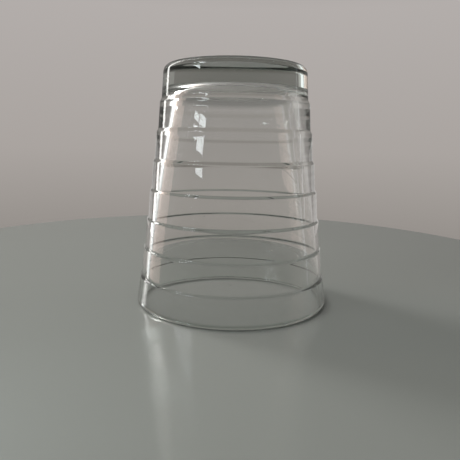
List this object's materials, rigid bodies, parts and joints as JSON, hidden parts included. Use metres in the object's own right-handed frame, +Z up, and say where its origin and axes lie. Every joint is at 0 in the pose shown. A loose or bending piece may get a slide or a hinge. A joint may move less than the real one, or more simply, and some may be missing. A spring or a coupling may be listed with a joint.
{
  "type": "drinking glass",
  "caption": "Clear pressed-glass tumbler with a tapered side in stepped rings, a thick base and a rounded rim, standing mouth down.",
  "frame": {"origin": "centre of the rim plane that the glass stands on, mouth down", "axes": "+Z up along the axis of revolution, from the rim to the base; the picture is taken along +Y, with +X to the right"},
  "size_m": [0.0798, 0.0798, 0.0956],
  "materials": {
    "clear_glass": "clear, pressed and fire-polished, faint grey-green tint in the thick base"
  },
  "bodies": {
    "root": {"base": "clear_glass", "side_wall": "clear_glass", "rim": "clear_glass"}
  },
  "joints": []
}
